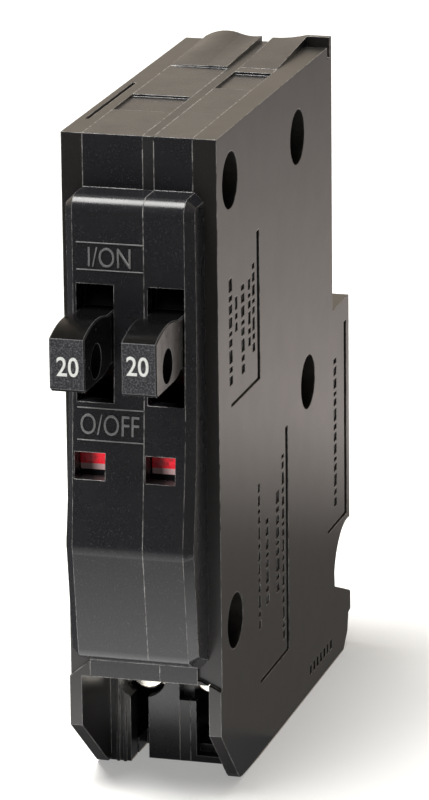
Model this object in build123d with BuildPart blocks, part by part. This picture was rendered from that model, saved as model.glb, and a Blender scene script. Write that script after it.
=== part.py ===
from build123d import *
import os
from math import cos, radians, sin

os.makedirs("parts", exist_ok=True)

# A twin plug-on circuit breaker: two single poles side by side in one pole space of a panel.
#
# Millimetres. x runs across the case from its middle. Every outline is drawn in side view as
# (depth, height): depth runs back from the front shoulder of the case, which the panel's cover
# lies against, and height runs up from the bottom end, where the load wires enter.

# Case
PITCH = 19.05
HALF_WIDTH = PITCH / 2
HEIGHT = 82.3
HANDLE_REACH = 16.3
BACK_DEPTH = 62.0
SHOULDER_Y = (HANDLE_REACH - BACK_DEPTH) / 2
LEFT_SEAM = -6.91
BARRIER_LEFT = 0.5
BARRIER_RIGHT = 1.87
RIGHT_SEAM = 6.6
COVER_POCKET = 8.1
WALL = 1.8
UPPER_BACK = 53.4

# Raised front block with its handle slots and flag windows
BLOCK_HALF_WIDTH = 7.9
BLOCK_CHAMFER = 1.05
BLOCK_HOLLOW_LEFT = -7.0
BLOCK_HOLLOW_RIGHT = 7.0
SLOT_LOW, SLOT_HIGH = 51.0, 65.3
WINDOW_LOW, WINDOW_HIGH = 41.6, 44.9

# Wiring recess under the lintel
LINTEL_LOW, LINTEL_HIGH = 14.9, 17.1
PLATE_DEPTH = -0.6
PRONG_INSIDE = 8.0
PRONG_BEND = 8.5
RECESS_BACK = 12.3
COMPARTMENT_FRONT, COMPARTMENT_BACK = 13.7, 26.4
FLOOR = 2.0

# Shallow marks on the right outer face
GROOVE_DEPTH = 0.4
GROOVE_WIDTH = 1.3
GROOVE_FOOT = 0.5
MARK_DEPTH = 0.3
DASH_LENGTHS = (1.1, 0.7, 1.6, 0.9, 0.5, 1.3)
DASH_GAP = 0.45
DASH_PITCH = 1.7

# Rivets and the round recesses that they sit in
RIVET_POINTS = [(5.7, 76.1), (36.6, 74.2), (41.0, 41.5), (6.1, 21.2)]
RECESS_RADIUS = 3.47
SPIGOT_RADIUS = 4.3
BOSS_RADIUS = 5.0
SPIGOT_END = 4.6
RIVET_SEAT = 5.2
RIVET_RADIUS = 1.75
RIVET_HEAD_RADIUS = 3.2
RIVET_HEAD = 0.7
RIVET_BORE = 1.2

# Pivots, as (depth, height), and their common pin
HANDLE_PIVOT = (5.5, 58.4)
LEVER_PIVOT = (10.0, 44.0)
ARM_PIVOT = (13.0, 58.6)
ARMATURE_PIVOT = (29.1, 47.5)
PIN_RADIUS = 1.2
PIN_BORE = 1.25
PIN_SOCKET = 1.22
COVER_SOCKET = 0.7
BARRIER_SOCKET = 0.5

# Line jaw
STRAP_LOW, STRAP_HIGH = 67.6, 68.8
JAW_FRONT = 42.8
JAW_LEFT, JAW_RIGHT = -5.6, 6.0
JAW_METAL = 1.2

# Load terminals
SCREW_HEIGHT = 10.9
SCREW_HEAD_RADIUS = 2.35
SCREW_RADIUS = 1.45
WIRE_DEPTH = 22.4
WIRE_RADIUS = 2.1
LUG_HALF_WIDTH = 2.3
LUG_FRONT, LUG_BACK = 18.4, 26.0
LUG_LOW, LUG_HIGH = 7.8, 14.0

CLEARANCE = 0.05


class Pole:
    """One pole: its name, the middle of its mechanism, and the span between its side walls."""

    def __init__(self, name, middle, terminal, pins, slot, window, flag):
        self.name = name
        self.middle = middle
        self.terminal = terminal
        self.pins = pins
        self.slot = slot
        self.window = window
        self.flag = flag


LEFT = Pole(
    name="left",
    middle=-4.15,
    terminal=-4.0,
    pins=(-COVER_POCKET - COVER_SOCKET, BARRIER_LEFT + BARRIER_SOCKET),
    slot=(-6.45, -1.85),
    window=(-6.7, -2.9),
    flag=(-6.75, -2.4),
)
RIGHT = Pole(
    name="right",
    middle=4.55,
    terminal=4.25,
    pins=(BARRIER_RIGHT - BARRIER_SOCKET, COVER_POCKET + COVER_SOCKET),
    slot=(2.3, 6.8),
    window=(2.07, 5.75),
    flag=(2.15, 6.4),
)


# Drawing helpers. Each one works on the part that is open when it is called.


def side(x):
    """Side-view plane at x: its first axis is depth, its second is height, it faces +X."""
    return Plane(origin=(x, SHOULDER_Y, 0), x_dir=(0, 1, 0), z_dir=(1, 0, 0))


def front(depth):
    """Front-view plane at a depth: its first axis is x, its second is height, it faces -Y."""
    return Plane(origin=(0, SHOULDER_Y + depth, 0), x_dir=(1, 0, 0), z_dir=(0, -1, 0))


def plan(height):
    """Plan-view plane at a height: its first axis is x, its second is depth, it faces +Z."""
    return Plane(origin=(0, SHOULDER_Y, height), x_dir=(1, 0, 0), z_dir=(0, 0, 1))


def prism(outline, x_low, x_high, mode=Mode.ADD):
    """Extrude a side-view outline from one x to another."""
    with BuildSketch(side(x_low)) as profile:
        add(outline)
    extrude(profile.sketch, amount=x_high - x_low, mode=mode)


def block(x_span, depth_span, height_span, mode=Mode.ADD):
    """Rectangular block between two limits on each axis."""
    with BuildSketch(side(x_span[0])) as profile:
        with Locations((sum(depth_span) / 2, sum(height_span) / 2)):
            Rectangle(depth_span[1] - depth_span[0], height_span[1] - height_span[0])
    extrude(profile.sketch, amount=x_span[1] - x_span[0], mode=mode)


def disc(x_span, point, radius, mode=Mode.ADD):
    """Round post, or hole, along X about a side-view point."""
    with BuildSketch(side(x_span[0])) as profile:
        with Locations(point):
            Circle(radius)
    extrude(profile.sketch, amount=x_span[1] - x_span[0], mode=mode)


def rod(x, height, depth_span, radius, mode=Mode.ADD):
    """Round post, or hole, along Y at one x and height."""
    with BuildSketch(front(depth_span[1])) as profile:
        with Locations((x, height)):
            Circle(radius)
    extrude(profile.sketch, amount=depth_span[1] - depth_span[0], mode=mode)


def about(middle, half_width):
    """Span that reaches the same distance to both sides of a middle."""
    return (middle - half_width, middle + half_width)


def polar(centre, radius, angle):
    """Side-view point at a radius from a centre, turned up by an angle from straight forward."""
    depth, height = centre
    return (depth - radius * cos(radians(angle)), height + radius * sin(radians(angle)))


def save(builder, name):
    """Label a finished piece and write it to its own file."""
    builder.part.label = name
    export_step(builder.part, f"parts/{name}.step")


# Outlines in side view

with BuildSketch() as case_outline:
    with BuildLine():
        Polyline(
            (0, HEIGHT),
            (0, LINTEL_HIGH),
            (PLATE_DEPTH, LINTEL_HIGH),
            (PLATE_DEPTH, PRONG_BEND),
            (6.6, 1.2),
            (7.5, 0.5),
            (8.6, 0.3),
            (16.0, 0),
            (58.3, 0),
            (60.4, 2.0),
            (61.0, 4.4),
            (BACK_DEPTH, 4.6),
            (BACK_DEPTH, 7.0),
            (61.3, 7.4),
            (53.95, 10.2),
            (53.8, 12.3),
        )
        ThreePointArc((53.8, 12.3), (56.4, 16.1), (61.7, 17.4))
        Polyline(
            (61.7, 17.4),
            (61.7, 47.5),
            (UPPER_BACK, 47.5),
            (UPPER_BACK, HEIGHT),
            (0, HEIGHT),
        )
    make_face()

with BuildSketch() as cavity_outline:
    with BuildLine():
        Polyline(
            (WALL, HEIGHT - WALL),
            (WALL, LINTEL_HIGH),
            (28.0, LINTEL_HIGH),
            (28.0, FLOOR),
            (50.0, FLOOR),
            (51.6, 4.0),
            (51.6, 17.5),
            (57.5, 19.5),
            (59.8, 19.5),
            (59.8, 45.7),
            (UPPER_BACK - WALL, 45.7),
            (UPPER_BACK - WALL, HEIGHT - WALL),
            close=True,
        )
    make_face()

with BuildSketch() as block_outline:
    with BuildLine():
        Line((0, LINTEL_HIGH), (0, 75.8))
        Line((0, 75.8), (-3.2, 75.8))
        ThreePointArc((-3.2, 75.8), (-4.4, 75.2), (-4.8, 73.8))
        Spline((-4.8, 73.8), (-5.3, 52.3), (-7.0, 34.2))
        ThreePointArc((-7.0, 34.2), (-7.08, 33.3), (-6.95, 32.4))
        FilletPolyline((-6.95, 32.4), (-5.3, 19.0), (PLATE_DEPTH, LINTEL_HIGH), radius=1.6)
        Line((PLATE_DEPTH, LINTEL_HIGH), (0, LINTEL_HIGH))
    make_face()

with BuildSketch() as hollow_outline:
    with BuildLine():
        Polyline(
            (-2.9, 70.5),
            (-3.5, 52.3),
            (-4.0, 42.4),
            (-5.0, 34.0),
            (-4.2, 27.0),
            (WALL, 27.0),
            (WALL, 70.5),
            close=True,
        )
    make_face()


# Case pieces


def raised_block(x_low, x_high, outer_side):
    """Part of the raised front block, with a chamfer round its outer side."""
    with BuildPart() as raised:
        prism(block_outline.sketch, x_low, x_high)
        end_faces = raised.faces().filter_by(Axis.X).sort_by(Axis.X)
        outer_face = end_faces[0] if outer_side < 0 else end_faces[-1]
        rim = outer_face.edges().filter_by(lambda edge: edge.center().Y < SHOULDER_Y - 1.0)
        chamfer(rim, BLOCK_CHAMFER)
    return raised.part


def case_frame(pole, x_span, spigot_span):
    """Wall round one pole, open on both sides, with bosses and webs for the four rivets."""
    prism(case_outline.sketch, *x_span)
    prism(cavity_outline.sketch, *x_span, mode=Mode.SUBTRACT)
    block(x_span, (35.4, 37.8), (76.0, HEIGHT - 1.0))
    block(x_span, (43.0, 60.5), (40.6, 42.4))
    for point in RIVET_POINTS:
        disc(x_span, point, BOSS_RADIUS)
    for point in RIVET_POINTS:
        disc(x_span, point, RIVET_RADIUS + CLEARANCE, mode=Mode.SUBTRACT)
        disc(spigot_span, point, SPIGOT_RADIUS + CLEARANCE, mode=Mode.SUBTRACT)
    block(x_span, (-1.0, RECESS_BACK), (-1.0, LINTEL_LOW), mode=Mode.SUBTRACT)
    block(about(pole.middle, 1.6), (26.0, 28.5), (9.4, 11.0), mode=Mode.SUBTRACT)
    block(x_span, (50.0, 54.0), (65.3, 74.7), mode=Mode.SUBTRACT)
    with BuildSketch(plan(-1.0)) as wire_hole:
        with Locations((pole.terminal, WIRE_DEPTH)):
            Circle(WIRE_RADIUS)
    extrude(wire_hole.sketch, amount=1.0 + FLOOR + 0.5, mode=Mode.SUBTRACT)


def front_openings(pole, hollow_span):
    """Hollow of the raised block behind one pole's handle slot and flag window."""
    prism(hollow_outline.sketch, *hollow_span, mode=Mode.SUBTRACT)
    block(pole.slot, (-9.0, 0), (SLOT_LOW, SLOT_HIGH), mode=Mode.SUBTRACT)
    block(pole.window, (-9.0, 0), (WINDOW_LOW, WINDOW_HIGH), mode=Mode.SUBTRACT)


def build_left_case():
    """Frame of the left pole. Its raised block reaches over the front edge of the barrier."""
    span = (LEFT_SEAM, BARRIER_LEFT)
    with BuildPart() as left_case:
        case_frame(LEFT, span, (LEFT_SEAM, -SPIGOT_END + CLEARANCE))
        add(raised_block(-BLOCK_HALF_WIDTH, BARRIER_RIGHT, -1))
        front_openings(LEFT, (BLOCK_HOLLOW_LEFT, BARRIER_LEFT))
        block((BARRIER_LEFT, BARRIER_RIGHT), (PLATE_DEPTH, 2.0), (LINTEL_LOW, LINTEL_HIGH))
        compartment = (COMPARTMENT_FRONT, COMPARTMENT_BACK)
        block((LEFT_SEAM, -1.4), compartment, (FLOOR, LINTEL_LOW), mode=Mode.SUBTRACT)
        block((LEFT_SEAM, -3.5), (12.0, 14.0), (-1.0, LINTEL_LOW), mode=Mode.SUBTRACT)
        block((-5.3, -3.5), (12.0, 17.7), (-1.0, FLOOR + 0.5), mode=Mode.SUBTRACT)
        rod(LEFT.terminal, SCREW_HEIGHT, (11.0, 14.0), 2.8, mode=Mode.SUBTRACT)
        left_top(span)
    save(left_case, "left_case")


def left_top(span):
    """Swell that rises to the rear along the left frame's top, and the shallow step in front of it."""
    base = HEIGHT - 0.5
    with BuildPart(mode=Mode.PRIVATE) as swell:
        with BuildSketch(front(UPPER_BACK)):
            with BuildLine():
                Line((span[0], base), (span[0], HEIGHT + 0.35))
                ThreePointArc((span[0], HEIGHT + 0.35), (-4.6, HEIGHT + 1.15), (-2.2, HEIGHT + 0.85))
                ThreePointArc((-2.2, HEIGHT + 0.85), (-0.8, HEIGHT + 0.6), (span[1], HEIGHT + 0.7))
                Line((span[1], HEIGHT + 0.7), (span[1], base))
                Line((span[1], base), (span[0], base))
            make_face()
        with BuildSketch(front(37.1)):
            with BuildLine():
                Line((span[0], base), (span[0], HEIGHT + 0.02))
                ThreePointArc((span[0], HEIGHT + 0.02), (-4.6, HEIGHT + 0.2), (-2.2, HEIGHT + 0.25))
                ThreePointArc((-2.2, HEIGHT + 0.25), (-0.8, HEIGHT + 0.27), (span[1], HEIGHT + 0.3))
                Line((span[1], HEIGHT + 0.3), (span[1], base))
                Line((span[1], base), (span[0], base))
            make_face()
        loft(ruled=True)
    add(swell.part)
    block(span, (12.5, 21.0), (HEIGHT - 0.3, HEIGHT + 0.5), mode=Mode.SUBTRACT)


def build_right_case():
    """Frame of the right pole, with its share of the raised block."""
    span = (BARRIER_RIGHT, RIGHT_SEAM)
    with BuildPart() as right_case:
        case_frame(RIGHT, span, (SPIGOT_END - CLEARANCE, RIGHT_SEAM))
        add(raised_block(BARRIER_RIGHT, BLOCK_HALF_WIDTH, 1))
        front_openings(RIGHT, (BARRIER_RIGHT, BLOCK_HOLLOW_RIGHT))
        compartment = (COMPARTMENT_FRONT, COMPARTMENT_BACK)
        block(span, compartment, (FLOOR, LINTEL_LOW), mode=Mode.SUBTRACT)
        block((2.65, RIGHT_SEAM), (12.0, 14.0), (1.0, LINTEL_LOW), mode=Mode.SUBTRACT)
        block((BARRIER_RIGHT, 2.65), (12.0, 14.0), (8.1, LINTEL_LOW), mode=Mode.SUBTRACT)
        block(span, (26.2, 35.6), (HEIGHT - 0.35, HEIGHT + 0.5), mode=Mode.SUBTRACT)
        right_top(span)
    save(right_case, "right_case")


def right_top(span):
    """Swell that rises to the rear along the right frame's top, higher towards the right."""
    base = HEIGHT - 0.5
    with BuildPart(mode=Mode.PRIVATE) as swell:
        with BuildSketch(front(UPPER_BACK)):
            with BuildLine():
                Line((span[0], base), (span[0], HEIGHT + 0.55))
                ThreePointArc((span[0], HEIGHT + 0.55), (4.4, HEIGHT + 0.7), (span[1], HEIGHT + 1.15))
                Line((span[1], HEIGHT + 1.15), (span[1], base))
                Line((span[1], base), (span[0], base))
            make_face()
        with BuildSketch(front(38.0)):
            with BuildLine():
                Line((span[0], base), (span[0], HEIGHT + 0.02))
                ThreePointArc((span[0], HEIGHT + 0.02), (4.4, HEIGHT + 0.03), (span[1], HEIGHT + 0.04))
                Line((span[1], HEIGHT + 0.04), (span[1], base))
                Line((span[1], base), (span[0], base))
            make_face()
        loft(ruled=True)
    add(swell.part)


def build_barrier():
    """Thin plate between the poles, cut out for the line jaw that both poles share."""
    span = (BARRIER_LEFT, BARRIER_RIGHT)
    with BuildPart() as centre_barrier:
        prism(case_outline.sketch, *span)
        block(span, (-1.0, 2.0), (0, LINTEL_HIGH), mode=Mode.SUBTRACT)
        block(span, (-1.0, RECESS_BACK), (-1.0, LINTEL_LOW), mode=Mode.SUBTRACT)
        block(span, (12.0, 14.3), (8.1, LINTEL_LOW), mode=Mode.SUBTRACT)
        block(span, (41.2, 54.0), (64.5, 75.5), mode=Mode.SUBTRACT)
        for point in RIVET_POINTS:
            disc(span, point, RIVET_RADIUS + CLEARANCE, mode=Mode.SUBTRACT)
        for point in (HANDLE_PIVOT, LEVER_PIVOT, ARM_PIVOT, ARMATURE_PIVOT):
            left_socket = (BARRIER_LEFT, BARRIER_LEFT + BARRIER_SOCKET)
            right_socket = (BARRIER_RIGHT - BARRIER_SOCKET, BARRIER_RIGHT)
            disc(left_socket, point, PIN_SOCKET, mode=Mode.SUBTRACT)
            disc(right_socket, point, PIN_SOCKET, mode=Mode.SUBTRACT)
    save(centre_barrier, "centre_barrier")


def cover_shell(seam, outward, ledge_inner, ledge_outer):
    """Outer shell of one side: pocket, rivet recesses, pin sockets, prong and slanted ledge."""

    def span(a, b):
        return (min(a, b), max(a, b))

    outer = outward * HALF_WIDTH
    pocket = outward * COVER_POCKET
    seat = outward * RIVET_SEAT
    prism(case_outline.sketch, *span(seam, outer))
    prism(cavity_outline.sketch, *span(seam, pocket), mode=Mode.SUBTRACT)
    for point in RIVET_POINTS:
        disc(span(outward * SPIGOT_END, pocket), point, SPIGOT_RADIUS)
        disc(span(seat, outer), point, RECESS_RADIUS, mode=Mode.SUBTRACT)
        disc(span(0, outer), point, RIVET_RADIUS + CLEARANCE, mode=Mode.SUBTRACT)
    for point in (HANDLE_PIVOT, LEVER_PIVOT, ARM_PIVOT, ARMATURE_PIVOT):
        socket = span(pocket, pocket + outward * COVER_SOCKET)
        disc(socket, point, PIN_SOCKET, mode=Mode.SUBTRACT)
    prong = span(seam, outward * PRONG_INSIDE)
    block(prong, (-1.0, 12.0), (-1.0, LINTEL_LOW), mode=Mode.SUBTRACT)
    with BuildSketch(front(0)) as ledge_cut:
        Polygon(
            (outward * 6.0, LINTEL_HIGH + 0.5),
            (outward * 6.0, ledge_inner),
            (outward * 6.9, ledge_inner),
            (outward * 9.4, ledge_outer),
            (outward * 9.8, ledge_outer),
            (outward * 9.8, LINTEL_HIGH + 0.5),
            align=None,
        )
    extrude(ledge_cut.sketch, amount=1.0, mode=Mode.SUBTRACT)


def corner_groove(near, far, low, high):
    """Groove on the right outer face: upright at its far end, with a level foot to the front."""
    with BuildSketch(side(HALF_WIDTH - GROOVE_DEPTH)) as line_mark:
        with Locations((far, (low + high) / 2)):
            Rectangle(GROOVE_WIDTH, high - low)
        with Locations(((near + far) / 2, low + GROOVE_FOOT / 2)):
            Rectangle(far - near, GROOVE_FOOT)
    extrude(line_mark.sketch, amount=GROOVE_DEPTH + 0.5, mode=Mode.SUBTRACT)


def dash_row(depth, low, high, width):
    """Upright row of plain engraved dashes of mixed lengths."""
    height = low
    step = 0
    with BuildSketch(side(HALF_WIDTH - MARK_DEPTH)) as dashes:
        while height + DASH_LENGTHS[step] <= high:
            length = DASH_LENGTHS[step]
            with Locations((depth, height + length / 2)):
                Rectangle(width, length)
            height += length + DASH_GAP
            step = (step + 1) % len(DASH_LENGTHS)
    extrude(dashes.sketch, amount=MARK_DEPTH + 0.5, mode=Mode.SUBTRACT)


def level_row(middle, height, count):
    """Level row of plain engraved dashes."""
    with BuildSketch(side(HALF_WIDTH - MARK_DEPTH)) as dashes:
        with Locations((middle, height)):
            with GridLocations(DASH_PITCH, 1.0, count, 1):
                Rectangle(1.0, 1.3)
    extrude(dashes.sketch, amount=MARK_DEPTH + 0.5, mode=Mode.SUBTRACT)


def build_right_cover():
    """Right outer shell. Corner grooves frame rows of plain engraved dashes on its outer face."""
    with BuildPart() as right_cover:
        cover_shell(RIGHT_SEAM, 1, 15.4, 14.2)
        block((RIGHT_SEAM, HALF_WIDTH), (52.6, UPPER_BACK), (HEIGHT - 0.5, HEIGHT + 1.1))
        block((RIGHT_SEAM, 9.8), (51.3, 52.6), (HEIGHT - 1.5, HEIGHT + 0.2), mode=Mode.SUBTRACT)
        block((RIGHT_SEAM, BLOCK_HOLLOW_RIGHT), (-0.5, 2.5), (27.0, 70.5), mode=Mode.SUBTRACT)
        corner_groove(5.3, 17.8, 48.2, 67.0)
        dash_row(5.4, 51.0, 65.0, 1.5)
        dash_row(7.9, 57.0, 62.6, 1.2)
        dash_row(10.8, 51.0, 64.0, 1.5)
        dash_row(13.7, 53.6, 62.0, 1.2)
        dash_row(15.6, 52.4, 63.8, 1.2)
        corner_groove(17.4, 30.4, 9.2, 38.7)
        dash_row(17.3, 16.4, 36.0, 1.1)
        dash_row(21.0, 18.5, 30.6, 1.5)
        dash_row(25.9, 18.5, 32.6, 1.6)
        dash_row(28.5, 11.4, 37.2, 1.2)
        corner_groove(50.5, 59.7, 18.3, 44.5)
        dash_row(54.5, 21.0, 42.0, 1.5)
        level_row(46.7, 2.9, 7)
    save(right_cover, "right_cover")


def build_left_cover():
    """Left outer shell, with the ribbed wall that closes the side of the left wire way."""
    with BuildPart() as left_cover:
        cover_shell(LEFT_SEAM, -1, 16.9, 14.8)
        block((-PRONG_INSIDE - 0.4, -5.4), (11.0, COMPARTMENT_FRONT), (0, LINTEL_LOW - 0.1))
        for rib_x in (-7.0, -6.15):
            block(about(rib_x, 0.2), (10.7, 11.2), (0, LINTEL_LOW - 0.1))
        rod(LEFT.terminal, SCREW_HEIGHT, (9.0, 14.0), 2.8, mode=Mode.SUBTRACT)
        block((-8.7, -8.2), (7.0, 27.0), (HEIGHT - 0.4, HEIGHT + 0.5), mode=Mode.SUBTRACT)
        with BuildSketch() as toe:
            Polygon((PLATE_DEPTH, PRONG_BEND), (PLATE_DEPTH, 0), (10.2, 0), align=None)
        prism(toe.sketch, -HALF_WIDTH, -PRONG_INSIDE, mode=Mode.SUBTRACT)
    save(left_cover, "left_cover")


def build_rivets():
    """Four tubular rivets that clamp the stack through the cover spigots."""
    with BuildPart() as case_rivets:
        for point in RIVET_POINTS:
            disc((-RIVET_SEAT, RIVET_SEAT), point, RIVET_RADIUS)
            disc((RIVET_SEAT, RIVET_SEAT + RIVET_HEAD), point, RIVET_HEAD_RADIUS)
            disc((-RIVET_SEAT - RIVET_HEAD, -RIVET_SEAT), point, RIVET_HEAD_RADIUS)
            disc((-HALF_WIDTH, HALF_WIDTH), point, RIVET_BORE, mode=Mode.SUBTRACT)
    save(case_rivets, "case_rivets")


# Line side, shared by the two poles


def build_line_jaw():
    """Copper jaw that grips the panel's stab, open to the back, with a flared mouth."""
    with BuildPart() as line_jaw:
        with BuildSketch(side(JAW_LEFT)) as jaw_profile:
            with BuildLine() as bend:
                Polyline(
                    (JAW_FRONT + 9.2, 72.9),
                    (JAW_FRONT + 7.2, 71.8),
                    (JAW_FRONT + 2.7, 72.4),
                    (JAW_FRONT + JAW_METAL / 2, 72.4),
                    (JAW_FRONT + JAW_METAL / 2, 67.6),
                    (JAW_FRONT + 2.7, 67.6),
                    (JAW_FRONT + 7.2, 68.2),
                    (JAW_FRONT + 9.2, 67.1),
                )
            trace(bend.line, JAW_METAL)
        extrude(jaw_profile.sketch, amount=JAW_RIGHT - JAW_LEFT)
    save(line_jaw, "line_jaw")


def build_jaw_spring():
    """Steel clip that hugs the jaw from outside and squeezes its two fingers together."""
    clip_metal = 0.7
    clip_front = JAW_FRONT - clip_metal / 2 - CLEARANCE
    with BuildPart() as jaw_spring:
        with BuildSketch(side(-1.8)) as clip_profile:
            with BuildLine() as bend:
                Polyline(
                    (JAW_FRONT + 6.6, 72.9),
                    (JAW_FRONT + 2.7, 73.42),
                    (clip_front, 73.42),
                    (clip_front, 66.58),
                    (JAW_FRONT + 2.7, 66.58),
                    (JAW_FRONT + 6.6, 67.1),
                )
            trace(bend.line, clip_metal)
        extrude(clip_profile.sketch, amount=4.0)
    save(jaw_spring, "jaw_spring")


# Mechanism of one pole


def build_pivot_pins(pole):
    """Four equal steel pins seated in the cover and the barrier."""
    with BuildPart() as pivot_pins:
        ends = (pole.pins[0] + CLEARANCE, pole.pins[1] - CLEARANCE)
        for point in (HANDLE_PIVOT, LEVER_PIVOT, ARM_PIVOT, ARMATURE_PIVOT):
            disc(ends, point, PIN_RADIUS)
    save(pivot_pins, f"{pole.name}_pivot_pins")


def build_handle(pole):
    """Toggle with a tie hole near its nose, a round hub, and a curved skirt behind the slot."""
    width = about(pole.middle, 2.15)
    pivot_depth = HANDLE_PIVOT[0]
    skirt_outer = 8.6
    skirt_inner = 7.7
    skirt_reach = 66.0
    far = 20.0
    with BuildSketch() as lever_outline:
        with BuildLine():
            Line((pivot_depth, 62.0), (-6.8, 62.1))
            ThreePointArc((-6.8, 62.1), (-12.0, 62.7), (-HANDLE_REACH, 61.65))
            Line((-HANDLE_REACH, 61.65), (-HANDLE_REACH, 55.6))
            Line((-HANDLE_REACH, 55.6), (-HANDLE_REACH + 0.5, 55.2))
            Line((-HANDLE_REACH + 0.5, 55.2), (-9.4, 55.2))
            ThreePointArc((-9.4, 55.2), (-7.8, 55.4), (-6.4, 55.9))
            Line((-6.4, 55.9), (pivot_depth, 54.8))
            Line((pivot_depth, 54.8), (pivot_depth, 62.0))
        make_face()
    with BuildSketch() as skirt_outline:
        with Locations(HANDLE_PIVOT):
            Circle(skirt_outer)
            Circle(skirt_inner, mode=Mode.SUBTRACT)
        Polygon(
            HANDLE_PIVOT,
            polar(HANDLE_PIVOT, far, skirt_reach),
            polar(HANDLE_PIVOT, far, 0),
            polar(HANDLE_PIVOT, far, -skirt_reach),
            align=None,
            mode=Mode.INTERSECT,
        )
    with BuildPart() as handle:
        prism(lever_outline.sketch, *width)
        chamfer(handle.faces().filter_by(Axis.X).edges(), 0.15)
        prism(skirt_outline.sketch, *width)
        disc(width, HANDLE_PIVOT, 5.0)
        disc(width, HANDLE_PIVOT, PIN_BORE, mode=Mode.SUBTRACT)
        disc(width, (-11.7, 57.9), 2.1, mode=Mode.SUBTRACT)
    save(handle, f"{pole.name}_handle")


def build_contact_arm(pole):
    """Long arm that carries the moving contact towards the fixed one."""
    with BuildPart() as contact_arm:
        block(about(pole.middle, 1.0), (13.0, 39.5), (57.0, 60.2))
        tip_edges = contact_arm.edges().filter_by(Axis.X).sort_by(Axis.Y)[-2:]
        fillet(tip_edges, 1.0)
        disc(about(pole.middle, 1.6), ARM_PIVOT, 2.1)
        disc(about(pole.middle, 1.6), ARM_PIVOT, PIN_BORE, mode=Mode.SUBTRACT)
    save(contact_arm, f"{pole.name}_contact_arm")


def build_contacts(pole):
    """Moving contact on top of the arm, fixed contact under the line strap."""
    contact_depth = 37.2
    with BuildPart() as moving_contact:
        with BuildSketch(plan(60.2)) as button:
            with Locations((pole.middle, contact_depth)):
                Circle(1.4)
        extrude(button.sketch, amount=1.1)
    save(moving_contact, f"{pole.name}_moving_contact")
    with BuildPart() as fixed_contact:
        with BuildSketch(plan(STRAP_LOW)) as button:
            with Locations((pole.middle, contact_depth)):
                Circle(1.5)
        extrude(button.sketch, amount=-1.0)
    save(fixed_contact, f"{pole.name}_fixed_contact")


def build_line_strap(pole):
    """Copper strap from the fixed contact to the jaw."""
    with BuildPart() as line_strap:
        block(about(pole.middle, 1.5), (34.8, JAW_FRONT), (STRAP_LOW, STRAP_HIGH))
    save(line_strap, f"{pole.name}_line_strap")


def build_arc_plates(pole):
    """Stack of steel plates past the tip of the arm, notched towards it."""
    with BuildPart() as arc_plates:
        for step in range(5):
            plate_low = 50.5 + 2.9 * step
            with BuildSketch(plan(plate_low)) as plate:
                with Locations((pole.middle, 44.4)):
                    Rectangle(4.2, 8.0)
                with BuildLine():
                    Polyline(
                        (pole.middle - 1.1, 40.0),
                        (pole.middle, 43.4),
                        (pole.middle + 1.1, 40.0),
                        close=True,
                    )
                make_face(mode=Mode.SUBTRACT)
            extrude(plate.sketch, amount=0.8)
    save(arc_plates, f"{pole.name}_arc_plates")


def build_trip_lever(pole):
    """Latched lever: a tail that reaches the armature and a short arm that holds the flag."""
    pivot_depth, pivot_height = LEVER_PIVOT
    with BuildPart() as trip_lever:
        with BuildSketch(side(pole.middle - 0.6)) as plate:
            Polygon(
                (pivot_depth - 9.0, pivot_height - 1.0),
                (pivot_depth, pivot_height - 2.2),
                (pivot_depth + 17.3, pivot_height - 4.6),
                (pivot_depth + 17.5, pivot_height - 2.8),
                (pivot_depth + 6.0, pivot_height + 0.4),
                (pivot_depth, pivot_height + 2.2),
                (pivot_depth - 9.0, pivot_height + 1.0),
                align=None,
            )
        extrude(plate.sketch, amount=1.2)
        disc(about(pole.middle, 1.5), LEVER_PIVOT, 2.3)
        disc(about(pole.middle, 1.5), LEVER_PIVOT, PIN_BORE, mode=Mode.SUBTRACT)
    save(trip_lever, f"{pole.name}_trip_lever")


def build_trip_flag(pole):
    """Red flag on the front arm of the trip lever, curved about the lever's pivot."""
    pivot_depth = LEVER_PIVOT[0]
    flag_outer = 13.4
    flag_inner = 12.5
    top_angle = 6.0
    bottom_angle = -12.0
    far = 20.0
    with BuildPart() as trip_flag:
        with BuildSketch(side(pole.flag[0])) as plate:
            with Locations(LEVER_PIVOT):
                Circle(flag_outer)
                Circle(flag_inner, mode=Mode.SUBTRACT)
            Polygon(
                LEVER_PIVOT,
                polar(LEVER_PIVOT, far, top_angle),
                polar(LEVER_PIVOT, far, bottom_angle),
                align=None,
                mode=Mode.INTERSECT,
            )
        extrude(plate.sketch, amount=pole.flag[1] - pole.flag[0])
        stem_front = pivot_depth - flag_outer + 0.5
        block(about(pole.middle, 0.6), (stem_front, pivot_depth - 9.0), (43.0, 45.0))
    save(trip_flag, f"{pole.name}_trip_flag")


def build_mechanism_spring(pole):
    """Extension spring between the trip lever and the contact arm."""
    low = Vector(pole.middle, SHOULDER_Y + 17.0, 45.2)
    high = Vector(pole.middle, SHOULDER_Y + 20.0, 56.2)
    axis = high - low
    wire_radius = 0.25
    coil_radius = 1.25
    with BuildPart() as mechanism_spring:
        with BuildLine():
            coil = Helix(0.9, axis.length, coil_radius, center=low, direction=axis)
        with BuildSketch(Plane(origin=coil @ 0, z_dir=coil % 0)):
            Circle(wire_radius)
        sweep(path=coil.edge(), is_frenet=True)
    save(mechanism_spring, f"{pole.name}_mechanism_spring")


# Thermal and magnetic trip of one pole


def build_bimetal(pole):
    """Upright strip that bends when it warms, fixed at its foot to the load strap."""
    with BuildPart() as bimetal:
        block(about(pole.middle, 1.4), (33.0, 34.0), (14.0, 51.0))
    save(bimetal, f"{pole.name}_bimetal")


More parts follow.
